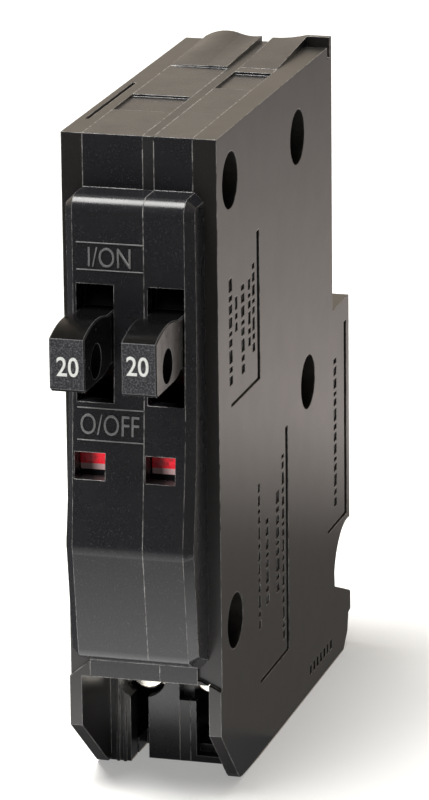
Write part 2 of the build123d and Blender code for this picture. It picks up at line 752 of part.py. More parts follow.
def build_yoke(pole):
    """Steel channel round the bimetal that draws the armature in at high current."""
    with BuildPart() as yoke:
        with BuildSketch(plan(28.0)) as channel:
            with Locations((pole.middle, 33.45)):
                Rectangle(4.5, 5.9)
            with Locations((pole.middle, 32.6)):
                Rectangle(3.1, 5.2, mode=Mode.SUBTRACT)
        extrude(channel.sketch, amount=10.0)
    save(yoke, f"{pole.name}_yoke")


def build_armature(pole):
    """Hinged plate in front of the yoke, with the window that latches the trip lever."""
    with BuildPart() as armature:
        block(about(pole.middle, 2.0), (28.6, 29.6), (26.0, 47.0))
        disc(about(pole.middle, 2.0), ARMATURE_PIVOT, 1.8)
        disc(about(pole.middle, 2.0), ARMATURE_PIVOT, PIN_BORE, mode=Mode.SUBTRACT)
        block(about(pole.middle, 1.0), (28.0, 30.0), (39.0, 43.5), mode=Mode.SUBTRACT)
    save(armature, f"{pole.name}_armature")


def build_load_strap(pole):
    """Copper angle from the terminal lug to the foot of the bimetal."""
    with BuildPart() as load_strap:
        block(about(pole.middle, 1.5), (LUG_BACK, 35.0), (9.6, 10.8))
        block(about(pole.middle, 1.5), (34.0, 35.0), (9.6, 20.0))
        rod(pole.middle, 17.0, (33.5, 35.5), 0.92, mode=Mode.SUBTRACT)
    save(load_strap, f"{pole.name}_load_strap")


def build_calibration_screw(pole):
    """Small screw through the load strap that sets how far the bimetal has to bend."""
    with BuildPart() as calibration_screw:
        rod(pole.middle, 17.0, (34.0, 36.4), 0.9)
        rod(pole.middle, 17.0, (36.4, 37.4), 1.5)
        block(about(pole.middle, 2.0), (37.0, 37.6), (16.8, 17.2), mode=Mode.SUBTRACT)
    save(calibration_screw, f"{pole.name}_calibration_screw")


def build_braid(pole):
    """Flexible copper braid from the contact arm to the free end of the bimetal."""
    with BuildPart() as braid:
        with BuildLine(side(pole.middle)) as route:
            FilletPolyline((23.5, 57.0), (23.5, 52.4), (27.5, 50.2), (33.0, 50.2), radius=1.6)
        with BuildSketch(Plane(origin=route.line @ 0, z_dir=route.line % 0)):
            Circle(0.6)
        sweep(path=route.line)
    save(braid, f"{pole.name}_braid")


# Load terminal of one pole


def build_terminal_lug(pole):
    """Box lug: the screw comes through its front wall, the wire rises through its window."""
    with BuildPart() as terminal_lug:
        block(about(pole.terminal, LUG_HALF_WIDTH), (LUG_FRONT, LUG_BACK), (LUG_LOW, LUG_HIGH))
        block(about(pole.terminal, 1.8), (20.0, 24.6), (LUG_LOW, LUG_HIGH), mode=Mode.SUBTRACT)
        rod(pole.terminal, SCREW_HEIGHT, (18.0, 20.5), SCREW_RADIUS + CLEARANCE, mode=Mode.SUBTRACT)
    save(terminal_lug, f"{pole.name}_terminal_lug")


def build_terminal_screw(pole):
    """Slotted terminal screw, backed out to let a wire in."""
    with BuildPart() as terminal_screw:
        rod(pole.terminal, SCREW_HEIGHT, (14.0, 15.4), SCREW_HEAD_RADIUS)
        fillet(terminal_screw.faces().sort_by(Axis.Y)[0].edges(), 0.3)
        rod(pole.terminal, SCREW_HEIGHT, (15.4, 20.6), SCREW_RADIUS)
        slot_heights = (SCREW_HEIGHT - 0.4, SCREW_HEIGHT + 0.4)
        block(about(pole.terminal, 2.5), (13.9, 14.8), slot_heights, mode=Mode.SUBTRACT)
    save(terminal_screw, f"{pole.name}_terminal_screw")


def build_clamp_plate(pole):
    """Plate on the tip of the terminal screw that presses on the wire."""
    with BuildPart() as clamp_plate:
        block(about(pole.terminal, 1.65), (20.6, 21.2), (LUG_LOW + 0.4, LUG_HIGH - 0.4))
    save(clamp_plate, f"{pole.name}_clamp_plate")


build_left_case()
build_right_case()
build_barrier()
build_left_cover()
build_right_cover()
build_rivets()
build_line_jaw()
build_jaw_spring()
for pole in (LEFT, RIGHT):
    build_pivot_pins(pole)
    build_handle(pole)
    build_contact_arm(pole)
    build_contacts(pole)
    build_line_strap(pole)
    build_arc_plates(pole)
    build_trip_lever(pole)
    build_trip_flag(pole)
    build_mechanism_spring(pole)
    build_bimetal(pole)
    build_yoke(pole)
    build_armature(pole)
    build_load_strap(pole)
    build_calibration_screw(pole)
    build_braid(pole)
    build_terminal_lug(pole)
    build_terminal_screw(pole)
    build_clamp_plate(pole)
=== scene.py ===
import math

import bpy
from mathutils import Matrix, Vector


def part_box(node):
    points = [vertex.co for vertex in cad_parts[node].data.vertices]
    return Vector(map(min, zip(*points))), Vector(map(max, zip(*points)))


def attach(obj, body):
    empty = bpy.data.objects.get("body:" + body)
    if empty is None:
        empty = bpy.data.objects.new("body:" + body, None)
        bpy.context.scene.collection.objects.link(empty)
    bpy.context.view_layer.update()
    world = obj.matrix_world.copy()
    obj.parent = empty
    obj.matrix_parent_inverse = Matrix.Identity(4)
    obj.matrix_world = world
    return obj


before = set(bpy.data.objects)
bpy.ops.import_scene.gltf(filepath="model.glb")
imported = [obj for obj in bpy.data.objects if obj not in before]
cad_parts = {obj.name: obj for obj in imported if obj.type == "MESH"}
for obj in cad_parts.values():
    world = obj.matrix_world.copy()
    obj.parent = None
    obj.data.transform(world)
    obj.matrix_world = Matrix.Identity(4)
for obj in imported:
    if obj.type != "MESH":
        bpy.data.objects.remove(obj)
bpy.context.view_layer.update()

# A twin plug-on circuit breaker in black moulded plastic. Metres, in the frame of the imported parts:
# x runs across the case, y runs back from the toggles, z runs up from the wire end.

MM = 0.001
TOGGLE_REACH = 16.3 * MM
SHOULDER_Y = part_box("left_handle")[0].y + TOGGLE_REACH
TOGGLE_FRONT_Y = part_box("left_handle")[0].y
SIDE_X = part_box("right_cover")[1].x
SEAM_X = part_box("left_case")[1].x


def at(x, depth, height):
    """Point given in millimetres as x, depth behind the front shoulder, and height."""
    return Vector((x * MM, SHOULDER_Y + depth * MM, height * MM))


# Finishes


def new_material(name):
    """Node material with its node tree cleared, ready for a shader and output."""
    material = bpy.data.materials.new(name)
    material.use_nodes = True
    material.node_tree.nodes.clear()
    return material


def group_nodes(nodes, label, colour, members):
    """Frame round the nodes that make one effect."""
    box = nodes.new("NodeFrame")
    box.label = label
    box.use_custom_color = True
    box.color = colour
    for member in members:
        member.parent = box


def moulded_plastic(name, deep, cloudy, fleck, roughness, patchiness, grain_size, grain_depth, streak_depth, edge_width, wear_and_highlight):
    """Half-gloss moulded plastic: cloudy tone, pale filler flecks, mould grain, and grey edges that are partly
    rubbed and partly a painted highlight.
    """
    material = new_material(name)
    nodes = material.node_tree.nodes
    links = material.node_tree.links

    place = nodes.new("ShaderNodeTexCoord")
    place.label = "place on the piece"
    place.location = (-1900, 0)

    clouds = nodes.new("ShaderNodeTexNoise")
    clouds.label = "slow clouds in the moulding"
    clouds.location = (-1500, 500)
    clouds.inputs["Scale"].default_value = 90.0
    clouds.inputs["Detail"].default_value = 4.0
    clouds.inputs["Roughness"].default_value = 0.6
    links.new(place.outputs["Object"], clouds.inputs["Vector"])

    cloud_tone = nodes.new("ShaderNodeMix")
    cloud_tone.data_type = "RGBA"
    cloud_tone.label = "deep to cloudy black"
    cloud_tone.location = (-1100, 500)
    cloud_tone.inputs["A"].default_value = (*deep, 1.0)
    cloud_tone.inputs["B"].default_value = (*cloudy, 1.0)
    links.new(clouds.outputs["Fac"], cloud_tone.inputs["Factor"])

    specks = nodes.new("ShaderNodeTexNoise")
    specks.label = "filler specks"
    specks.location = (-1500, 200)
    specks.inputs["Scale"].default_value = 5200.0
    specks.inputs["Detail"].default_value = 2.0
    links.new(place.outputs["Object"], specks.inputs["Vector"])

    speck_cut = nodes.new("ShaderNodeMapRange")
    speck_cut.label = "only the brightest specks"
    speck_cut.location = (-1100, 200)
    speck_cut.inputs["From Min"].default_value = 0.60
    speck_cut.inputs["From Max"].default_value = 0.82
    speck_cut.inputs["To Max"].default_value = 0.55
    links.new(specks.outputs["Fac"], speck_cut.inputs["Value"])

    speck_tone = nodes.new("ShaderNodeMix")
    speck_tone.data_type = "RGBA"
    speck_tone.label = "flecked black"
    speck_tone.location = (-700, 400)
    speck_tone.inputs["B"].default_value = (*fleck, 1.0)
    links.new(speck_cut.outputs["Result"], speck_tone.inputs["Factor"])
    links.new(cloud_tone.outputs["Result"], speck_tone.inputs["A"])

    rounded = nodes.new("ShaderNodeBevel")
    rounded.label = "slightly broken edges"
    rounded.location = (-1900, -700)
    rounded.samples = 6
    rounded.inputs["Radius"].default_value = edge_width

    facing = nodes.new("ShaderNodeNewGeometry")
    facing.label = "flat of the face"
    facing.location = (-1900, -950)

    turn = nodes.new("ShaderNodeVectorMath")
    turn.operation = "DOT_PRODUCT"
    turn.label = "how far the edge turns"
    turn.location = (-1500, -800)
    links.new(rounded.outputs["Normal"], turn.inputs[0])
    links.new(facing.outputs["Normal"], turn.inputs[1])

    # Broken pale line along the edges: partly rubbed plastic, partly a painted highlight where the edges catch the
    # light.
    edge = nodes.new("ShaderNodeMapRange")
    edge.label = "edge line"
    edge.location = (-1100, -800)
    edge.inputs["From Min"].default_value = 0.995
    edge.inputs["From Max"].default_value = 0.90
    edge.inputs["To Max"].default_value = wear_and_highlight
    links.new(turn.outputs["Value"], edge.inputs["Value"])

    rub = nodes.new("ShaderNodeTexNoise")
    rub.label = "where the edges are rubbed"
    rub.location = (-1500, -400)
    rub.inputs["Scale"].default_value = 900.0
    rub.inputs["Detail"].default_value = 3.0
    links.new(place.outputs["Object"], rub.inputs["Vector"])

    rub_cut = nodes.new("ShaderNodeMapRange")
    rub_cut.label = "broken line of wear"
    rub_cut.location = (-1100, -400)
    rub_cut.inputs["From Min"].default_value = 0.32
    rub_cut.inputs["From Max"].default_value = 0.58
    links.new(rub.outputs["Fac"], rub_cut.inputs["Value"])

    worn_and_lit = nodes.new("ShaderNodeMath")
    worn_and_lit.operation = "MULTIPLY"
    worn_and_lit.label = "worn edge"
    worn_and_lit.location = (-700, -600)
    links.new(edge.outputs["Result"], worn_and_lit.inputs[0])
    links.new(rub_cut.outputs["Result"], worn_and_lit.inputs[1])

    # The edge line is mixed in as pale grey: painted highlight together with rubbing.
    final_tone = nodes.new("ShaderNodeMix")
    final_tone.data_type = "RGBA"
    final_tone.label = "grey where the edge is worn"
    final_tone.location = (-300, 300)
    final_tone.inputs["B"].default_value = (0.50, 0.49, 0.47, 1.0)
    links.new(worn_and_lit.outputs["Value"], final_tone.inputs["Factor"])
    links.new(speck_tone.outputs["Result"], final_tone.inputs["A"])

    sheen = nodes.new("ShaderNodeTexNoise")
    sheen.label = "patches of sheen"
    sheen.location = (-1500, -100)
    sheen.inputs["Scale"].default_value = 260.0
    sheen.inputs["Detail"].default_value = 5.0
    links.new(place.outputs["Object"], sheen.inputs["Vector"])

    gloss = nodes.new("ShaderNodeMapRange")
    gloss.label = "gloss of the face"
    gloss.location = (-700, 0)
    gloss.inputs["From Min"].default_value = 0.3
    gloss.inputs["From Max"].default_value = 0.7
    gloss.inputs["To Min"].default_value = roughness - patchiness
    gloss.inputs["To Max"].default_value = roughness + patchiness
    links.new(sheen.outputs["Fac"], gloss.inputs["Value"])

    upright = nodes.new("ShaderNodeMapping")
    upright.label = "drawn out upwards"
    upright.location = (-1500, -1200)
    upright.inputs["Scale"].default_value = (1.0, 1.0, 0.015)
    links.new(place.outputs["Object"], upright.inputs["Vector"])

    streaks = nodes.new("ShaderNodeTexNoise")
    streaks.label = "polishing lines of the mould"
    streaks.location = (-1100, -1200)
    streaks.inputs["Scale"].default_value = 2600.0
    streaks.inputs["Detail"].default_value = 3.0
    links.new(upright.outputs["Vector"], streaks.inputs["Vector"])

    grain = nodes.new("ShaderNodeTexNoise")
    grain.label = "grain of the mould"
    grain.location = (-1100, -1500)
    grain.inputs["Scale"].default_value = 1.0 / grain_size
    grain.inputs["Detail"].default_value = 3.0
    links.new(place.outputs["Object"], grain.inputs["Vector"])

    streak_bump = nodes.new("ShaderNodeBump")
    streak_bump.label = "line relief"
    streak_bump.location = (-700, -1100)
    streak_bump.inputs["Strength"].default_value = 1.0
    streak_bump.inputs["Distance"].default_value = streak_depth
    links.new(streaks.outputs["Fac"], streak_bump.inputs["Height"])
    links.new(rounded.outputs["Normal"], streak_bump.inputs["Normal"])

    grain_bump = nodes.new("ShaderNodeBump")
    grain_bump.label = "grain relief"
    grain_bump.location = (-300, -1100)
    grain_bump.inputs["Strength"].default_value = 1.0
    grain_bump.inputs["Distance"].default_value = grain_depth
    links.new(grain.outputs["Fac"], grain_bump.inputs["Height"])
    links.new(streak_bump.outputs["Normal"], grain_bump.inputs["Normal"])

    shader = nodes.new("ShaderNodeBsdfPrincipled")
    shader.label = "moulded plastic"
    shader.location = (100, 200)
    shader.inputs["IOR"].default_value = 1.5
    links.new(final_tone.outputs["Result"], shader.inputs["Base Color"])
    links.new(gloss.outputs["Result"], shader.inputs["Roughness"])
    links.new(grain_bump.outputs["Normal"], shader.inputs["Normal"])

    output = nodes.new("ShaderNodeOutputMaterial")
    output.label = "surface"
    output.location = (500, 200)
    links.new(shader.outputs["BSDF"], output.inputs["Surface"])

    group_nodes(nodes, "tone", (0.25, 0.3, 0.4), (clouds, cloud_tone, specks, speck_cut, speck_tone))
    group_nodes(nodes, "edge wear", (0.4, 0.3, 0.2), (rounded, facing, turn, edge, rub, rub_cut, worn_and_lit, final_tone))
    group_nodes(nodes, "gloss", (0.2, 0.4, 0.3), (sheen, gloss))
    group_nodes(nodes, "relief", (0.3, 0.25, 0.4), (upright, streaks, grain, streak_bump, grain_bump))
    return material


def toggle_plastic(name, front_y):
    """Gloss black toggle whose front face is sand-textured grey-black with pale flecks."""
    material = new_material(name)
    nodes = material.node_tree.nodes
    links = material.node_tree.links

    place = nodes.new("ShaderNodeTexCoord")
    place.label = "place on the toggle"
    place.location = (-1900, 0)

    split = nodes.new("ShaderNodeSeparateXYZ")
    split.label = "reach of the toggle"
    split.location = (-1600, 300)
    links.new(place.outputs["Object"], split.inputs["Vector"])

    on_front = nodes.new("ShaderNodeMath")
    on_front.operation = "LESS_THAN"
    on_front.label = "front face only"
    on_front.location = (-1300, 300)
    on_front.inputs[1].default_value = front_y
    links.new(split.outputs["Y"], on_front.inputs[0])

    specks = nodes.new("ShaderNodeTexNoise")
    specks.label = "sand texture"
    specks.location = (-1600, 0)
    specks.inputs["Scale"].default_value = 4600.0
    specks.inputs["Detail"].default_value = 4.0
    links.new(place.outputs["Object"], specks.inputs["Vector"])

    speck_cut = nodes.new("ShaderNodeMapRange")
    speck_cut.label = "pale flecks"
    speck_cut.location = (-1300, 0)
    speck_cut.inputs["From Min"].default_value = 0.46
    speck_cut.inputs["From Max"].default_value = 0.80
    links.new(specks.outputs["Fac"], speck_cut.inputs["Value"])

    front_tone = nodes.new("ShaderNodeMix")
    front_tone.data_type = "RGBA"
    front_tone.label = "flecked front"
    front_tone.location = (-1000, 100)
    front_tone.inputs["A"].default_value = (0.024, 0.024, 0.027, 1.0)
    front_tone.inputs["B"].default_value = (0.15, 0.15, 0.165, 1.0)
    links.new(speck_cut.outputs["Result"], front_tone.inputs["Factor"])

    tone = nodes.new("ShaderNodeMix")
    tone.data_type = "RGBA"
    tone.label = "black behind the front"
    tone.location = (-700, 200)
    tone.inputs["A"].default_value = (0.0035, 0.0034, 0.0034, 1.0)
    links.new(on_front.outputs["Value"], tone.inputs["Factor"])
    links.new(front_tone.outputs["Result"], tone.inputs["B"])

    rounded = nodes.new("ShaderNodeBevel")
    rounded.label = "slightly broken edges"
    rounded.location = (-1900, -700)
    rounded.samples = 6
    rounded.inputs["Radius"].default_value = 0.12 * MM

    facing = nodes.new("ShaderNodeNewGeometry")
    facing.label = "flat of the face"
    facing.location = (-1900, -950)

    turn = nodes.new("ShaderNodeVectorMath")
    turn.operation = "DOT_PRODUCT"
    turn.label = "how far the edge turns"
    turn.location = (-1600, -800)
    links.new(rounded.outputs["Normal"], turn.inputs[0])
    links.new(facing.outputs["Normal"], turn.inputs[1])

    # Every edge of the toggle is mixed to pale grey: a painted highlight, with some rubbing.
    edge = nodes.new("ShaderNodeMapRange")
    edge.label = "edge line"
    edge.location = (-1300, -800)
    edge.inputs["From Min"].default_value = 0.995
    edge.inputs["From Max"].default_value = 0.90
    edge.inputs["To Max"].default_value = 0.6
    links.new(turn.outputs["Value"], edge.inputs["Value"])

    final_tone = nodes.new("ShaderNodeMix")
    final_tone.data_type = "RGBA"
    final_tone.label = "grey where the edge is worn"
    final_tone.location = (-400, 200)
    final_tone.inputs["B"].default_value = (0.34, 0.34, 0.35, 1.0)
    links.new(edge.outputs["Result"], final_tone.inputs["Factor"])
    links.new(tone.outputs["Result"], final_tone.inputs["A"])

    smears = nodes.new("ShaderNodeTexNoise")
    smears.label = "finger smears"
    smears.location = (-1600, -300)
    smears.inputs["Scale"].default_value = 420.0
    smears.inputs["Detail"].default_value = 4.0
    links.new(place.outputs["Object"], smears.inputs["Vector"])

    smear_gloss = nodes.new("ShaderNodeMapRange")
    smear_gloss.label = "gloss of the sides"
    smear_gloss.location = (-1300, -300)
    smear_gloss.inputs["From Min"].default_value = 0.35
    smear_gloss.inputs["From Max"].default_value = 0.70
    smear_gloss.inputs["To Min"].default_value = 0.13
    smear_gloss.inputs["To Max"].default_value = 0.28
    links.new(smears.outputs["Fac"], smear_gloss.inputs["Value"])

    gloss = nodes.new("ShaderNodeMix")
    gloss.data_type = "FLOAT"
    gloss.label = "matt front, glossy sides"
    gloss.location = (-1000, -250)
    gloss.inputs["B"].default_value = 0.5
    links.new(on_front.outputs["Value"], gloss.inputs["Factor"])
    links.new(smear_gloss.outputs["Result"], gloss.inputs["A"])

    grain_bump = nodes.new("ShaderNodeBump")
    grain_bump.label = "grain relief"
    grain_bump.location = (-700, -500)
    grain_bump.inputs["Distance"].default_value = 0.008 * MM
    links.new(specks.outputs["Fac"], grain_bump.inputs["Height"])
    links.new(rounded.outputs["Normal"], grain_bump.inputs["Normal"])

    shader = nodes.new("ShaderNodeBsdfPrincipled")
    shader.label = "toggle plastic"
    shader.location = (-100, 100)
    shader.inputs["Specular IOR Level"].default_value = 0.22
    links.new(final_tone.outputs["Result"], shader.inputs["Base Color"])
    links.new(gloss.outputs["Result"], shader.inputs["Roughness"])
    links.new(grain_bump.outputs["Normal"], shader.inputs["Normal"])

    output = nodes.new("ShaderNodeOutputMaterial")
    output.label = "surface"
    output.location = (250, 100)
    links.new(shader.outputs["BSDF"], output.inputs["Surface"])

    group_nodes(nodes, "front texture", (0.25, 0.3, 0.4), (split, on_front, specks, speck_cut, front_tone, tone))
    group_nodes(nodes, "edge wear", (0.4, 0.3, 0.2), (rounded, facing, turn, edge, final_tone))
    group_nodes(nodes, "gloss", (0.2, 0.4, 0.3), (smears, smear_gloss, gloss))
    return material


def bare_metal(name, bright, dull, roughness, line_scale, line_stretch):
    """Bare or plated metal: tarnish clouds and drawing lines."""
    material = new_material(name)
    nodes = material.node_tree.nodes
    links = material.node_tree.links

    place = nodes.new("ShaderNodeTexCoord")
    place.label = "place on the piece"
    place.location = (-1500, 0)

    tarnish = nodes.new("ShaderNodeTexNoise")
    tarnish.label = "tarnish clouds"
    tarnish.location = (-1100, 300)
    tarnish.inputs["Scale"].default_value = 480.0
    tarnish.inputs["Detail"].default_value = 5.0
    links.new(place.outputs["Object"], tarnish.inputs["Vector"])

    tarnish_cut = nodes.new("ShaderNodeMapRange")
    tarnish_cut.label = "how much is dulled"
    tarnish_cut.location = (-700, 300)
    tarnish_cut.inputs["From Min"].default_value = 0.42
    tarnish_cut.inputs["From Max"].default_value = 0.72
    links.new(tarnish.outputs["Fac"], tarnish_cut.inputs["Value"])

    tone = nodes.new("ShaderNodeMix")
    tone.data_type = "RGBA"
    tone.label = "bright to dull metal"
    tone.location = (-300, 300)
    tone.inputs["A"].default_value = (*bright, 1.0)
    tone.inputs["B"].default_value = (*dull, 1.0)
    links.new(tarnish_cut.outputs["Result"], tone.inputs["Factor"])

    drawn = nodes.new("ShaderNodeMapping")
    drawn.label = "drawn out along the strip"
    drawn.location = (-1100, -100)
    drawn.inputs["Scale"].default_value = line_stretch
    links.new(place.outputs["Object"], drawn.inputs["Vector"])

    lines = nodes.new("ShaderNodeTexNoise")
    lines.label = "rolling or turning lines"
    lines.location = (-700, -100)
    lines.inputs["Scale"].default_value = line_scale
    lines.inputs["Detail"].default_value = 4.0
    links.new(drawn.outputs["Vector"], lines.inputs["Vector"])

    gloss = nodes.new("ShaderNodeMapRange")
    gloss.label = "gloss along the lines"
    gloss.location = (-300, 0)
    gloss.inputs["From Min"].default_value = 0.3
    gloss.inputs["From Max"].default_value = 0.7
    gloss.inputs["To Min"].default_value = roughness - 0.06
    gloss.inputs["To Max"].default_value = roughness + 0.1
    links.new(lines.outputs["Fac"], gloss.inputs["Value"])

    relief = nodes.new("ShaderNodeBump")
    relief.label = "line relief"
    relief.location = (-300, -300)
    relief.inputs["Strength"].default_value = 0.6
    relief.inputs["Distance"].default_value = 0.006 * MM
    links.new(lines.outputs["Fac"], relief.inputs["Height"])

    shader = nodes.new("ShaderNodeBsdfPrincipled")
    shader.label = "metal"
    shader.location = (100, 200)
    shader.inputs["Metallic"].default_value = 1.0
    links.new(tone.outputs["Result"], shader.inputs["Base Color"])
    links.new(gloss.outputs["Result"], shader.inputs["Roughness"])
    links.new(relief.outputs["Normal"], shader.inputs["Normal"])

    output = nodes.new("ShaderNodeOutputMaterial")
    output.label = "surface"
    output.location = (500, 200)
    links.new(shader.outputs["BSDF"], output.inputs["Surface"])

    group_nodes(nodes, "tarnish", (0.4, 0.3, 0.2), (tarnish, tarnish_cut, tone))
    group_nodes(nodes, "drawing lines", (0.2, 0.3, 0.4), (drawn, lines, gloss, relief))
    return material


def flag_plastic(name, bar_low, bar_high, shaded_to, lit_from):
    """Trip flag: glossy red above, a pale bar across it, black below, with painted shade toward its left side and a
    painted glow in its own colour.
    """
    material = new_material(name)
    nodes = material.node_tree.nodes
    links = material.node_tree.links

    place = nodes.new("ShaderNodeTexCoord")
    place.label = "place on the flag"
    place.location = (-1500, 0)

    split = nodes.new("ShaderNodeSeparateXYZ")
    split.label = "height on the flag"
    split.location = (-1300, 0)
    links.new(place.outputs["Object"], split.inputs["Vector"])

    above = nodes.new("ShaderNodeMath")
    above.operation = "GREATER_THAN"
    above.label = "red part"
    above.location = (-1000, 200)
    above.inputs[1].default_value = bar_high
    links.new(split.outputs["Z"], above.inputs[0])

    below = nodes.new("ShaderNodeMath")
    below.operation = "LESS_THAN"
    below.label = "black part"
    below.location = (-1000, -100)
    below.inputs[1].default_value = bar_low
    links.new(split.outputs["Z"], below.inputs[0])

    mottle = nodes.new("ShaderNodeTexNoise")
    mottle.label = "mottled colour"
    mottle.location = (-1000, 450)
    mottle.inputs["Scale"].default_value = 1500.0
    mottle.inputs["Detail"].default_value = 3.0
    links.new(place.outputs["Object"], mottle.inputs["Vector"])

    mottle_cut = nodes.new("ShaderNodeMapRange")
    mottle_cut.label = "dirt in the red"
    mottle_cut.location = (-700, 450)
    mottle_cut.inputs["From Min"].default_value = 0.48
    mottle_cut.inputs["From Max"].default_value = 0.75
    links.new(mottle.outputs["Fac"], mottle_cut.inputs["Value"])

    red_tone = nodes.new("ShaderNodeMix")
    red_tone.data_type = "RGBA"
    red_tone.label = "clean to dirty red"
    red_tone.location = (-500, 450)
    red_tone.inputs["A"].default_value = (0.86, 0.004, 0.022, 1.0)
    red_tone.inputs["B"].default_value = (0.20, 0.003, 0.008, 1.0)
    links.new(mottle_cut.outputs["Result"], red_tone.inputs["Factor"])

    with_bar = nodes.new("ShaderNodeMix")
    with_bar.data_type = "RGBA"
    with_bar.label = "pale bar under the red"
    with_bar.location = (-250, 250)
    with_bar.inputs["A"].default_value = (0.46, 0.30, 0.30, 1.0)
    links.new(above.outputs["Value"], with_bar.inputs["Factor"])
    links.new(red_tone.outputs["Result"], with_bar.inputs["B"])

    with_black = nodes.new("ShaderNodeMix")
    with_black.data_type = "RGBA"
    with_black.label = "black foot"
    with_black.location = (0, 150)
    with_black.inputs["B"].default_value = (0.006, 0.006, 0.007, 1.0)
    links.new(below.outputs["Value"], with_black.inputs["Factor"])
    links.new(with_bar.outputs["Result"], with_black.inputs["A"])

    # Painted shade: the flag's colour is darkened toward its left side.
    painted_shade = nodes.new("ShaderNodeMapRange")
    painted_shade.label = "grime on the left"
    painted_shade.location = (-250, 500)
    painted_shade.inputs["From Min"].default_value = shaded_to
    painted_shade.inputs["From Max"].default_value = lit_from
    painted_shade.inputs["To Min"].default_value = 0.08
    painted_shade.inputs["To Max"].default_value = 1.0
    links.new(split.outputs["X"], painted_shade.inputs["Value"])

    flag_tone = nodes.new("ShaderNodeVectorMath")
    flag_tone.operation = "SCALE"
    flag_tone.label = "tone under the grime"
    flag_tone.location = (120, 350)
    links.new(with_black.outputs["Result"], flag_tone.inputs[0])
    links.new(painted_shade.outputs["Result"], flag_tone.inputs["Scale"])

    gloss = nodes.new("ShaderNodeMapRange")
    gloss.label = "gloss with smears"
    gloss.location = (-250, -150)
    gloss.inputs["To Min"].default_value = 0.18
    gloss.inputs["To Max"].default_value = 0.42
    links.new(mottle.outputs["Fac"], gloss.inputs["Value"])

    relief = nodes.new("ShaderNodeBump")
    relief.label = "uneven moulding"
    relief.location = (-250, -400)
    relief.inputs["Distance"].default_value = 0.01 * MM
    links.new(mottle.outputs["Fac"], relief.inputs["Height"])

    shader = nodes.new("ShaderNodeBsdfPrincipled")
    shader.label = "flag plastic"
    shader.location = (250, 150)
    # Painted light: the flag glows in its own colour though it is no lamp, which brightens the red.
    shader.inputs["Emission Strength"].default_value = 0.8
    links.new(flag_tone.outputs["Vector"], shader.inputs["Base Color"])
    links.new(flag_tone.outputs["Vector"], shader.inputs["Emission Color"])
    links.new(gloss.outputs["Result"], shader.inputs["Roughness"])
    links.new(relief.outputs["Normal"], shader.inputs["Normal"])

    output = nodes.new("ShaderNodeOutputMaterial")
    output.label = "surface"
    output.location = (550, 150)
    links.new(shader.outputs["BSDF"], output.inputs["Surface"])

    group_nodes(nodes, "bands", (0.4, 0.2, 0.2), (split, above, below, red_tone, with_bar, with_black, painted_shade, flag_tone))
    group_nodes(nodes, "mottle", (0.2, 0.3, 0.4), (mottle, mottle_cut, gloss, relief))
    return material


def printed_ink(name, clean, thin):
    """Pad-printed ink, thinner in places, with a chalky surface."""
    material = new_material(name)
    nodes = material.node_tree.nodes
    links = material.node_tree.links

    place = nodes.new("ShaderNodeTexCoord")
    place.label = "place on the figures"
    place.location = (-900, 0)

    cover = nodes.new("ShaderNodeTexNoise")
    cover.label = "uneven ink"
    cover.location = (-650, 0)
    cover.inputs["Scale"].default_value = 4000.0
    cover.inputs["Detail"].default_value = 3.0
    links.new(place.outputs["Object"], cover.inputs["Vector"])

    cover_cut = nodes.new("ShaderNodeMapRange")
    cover_cut.label = "thin spots"
    cover_cut.location = (-400, 0)
    cover_cut.inputs["From Min"].default_value = 0.5
    cover_cut.inputs["From Max"].default_value = 0.8
    links.new(cover.outputs["Fac"], cover_cut.inputs["Value"])

    tone = nodes.new("ShaderNodeMix")
    tone.data_type = "RGBA"
    tone.label = "ink tone"
    tone.location = (-150, 0)
    tone.inputs["A"].default_value = (*clean, 1.0)
    tone.inputs["B"].default_value = (*thin, 1.0)
    links.new(cover_cut.outputs["Result"], tone.inputs["Factor"])

    relief = nodes.new("ShaderNodeBump")
    relief.label = "ink relief"
    relief.location = (-150, -250)
    relief.inputs["Distance"].default_value = 0.01 * MM
    links.new(cover.outputs["Fac"], relief.inputs["Height"])

    shader = nodes.new("ShaderNodeBsdfPrincipled")
    shader.label = "ink"
    shader.location = (100, 0)
    shader.inputs["Roughness"].default_value = 0.55
    links.new(tone.outputs["Result"], shader.inputs["Base Color"])
    links.new(relief.outputs["Normal"], shader.inputs["Normal"])

    output = nodes.new("ShaderNodeOutputMaterial")
    output.label = "surface"
    output.location = (400, 0)
    links.new(shader.outputs["BSDF"], output.inputs["Surface"])

    group_nodes(nodes, "ink cover", (0.3, 0.3, 0.3), (cover, cover_cut, tone, relief))
    return material


def pale_floor(name, tone_a, tone_b, glow):
    """Matt pale table top with a barely visible mottle, lit a little from within like a light table."""
    material = new_material(name)
    nodes = material.node_tree.nodes
    links = material.node_tree.links

    place = nodes.new("ShaderNodeTexCoord")
    place.label = "place on the table"
    place.location = (-900, 0)

    mottle = nodes.new("ShaderNodeTexNoise")
    mottle.label = "faint mottle"
    mottle.location = (-650, 0)
    mottle.inputs["Scale"].default_value = 30.0
    links.new(place.outputs["Object"], mottle.inputs["Vector"])

    tone = nodes.new("ShaderNodeMix")
    tone.data_type = "RGBA"
    tone.label = "table tone"
    tone.location = (-300, 0)
    tone.inputs["A"].default_value = (*tone_a, 1.0)
    tone.inputs["B"].default_value = (*tone_b, 1.0)
    links.new(mottle.outputs["Fac"], tone.inputs["Factor"])

    shader = nodes.new("ShaderNodeBsdfPrincipled")
    shader.label = "matt table top"
    shader.location = (0, 0)
    shader.inputs["Roughness"].default_value = 0.8
    shader.inputs["Specular IOR Level"].default_value = 0.1
    shader.inputs["Emission Strength"].default_value = glow
    links.new(tone.outputs["Result"], shader.inputs["Base Color"])
    links.new(tone.outputs["Result"], shader.inputs["Emission Color"])

    output = nodes.new("ShaderNodeOutputMaterial")
    output.label = "surface"
    output.location = (300, 0)
    links.new(shader.outputs["BSDF"], output.inputs["Surface"])
    return material


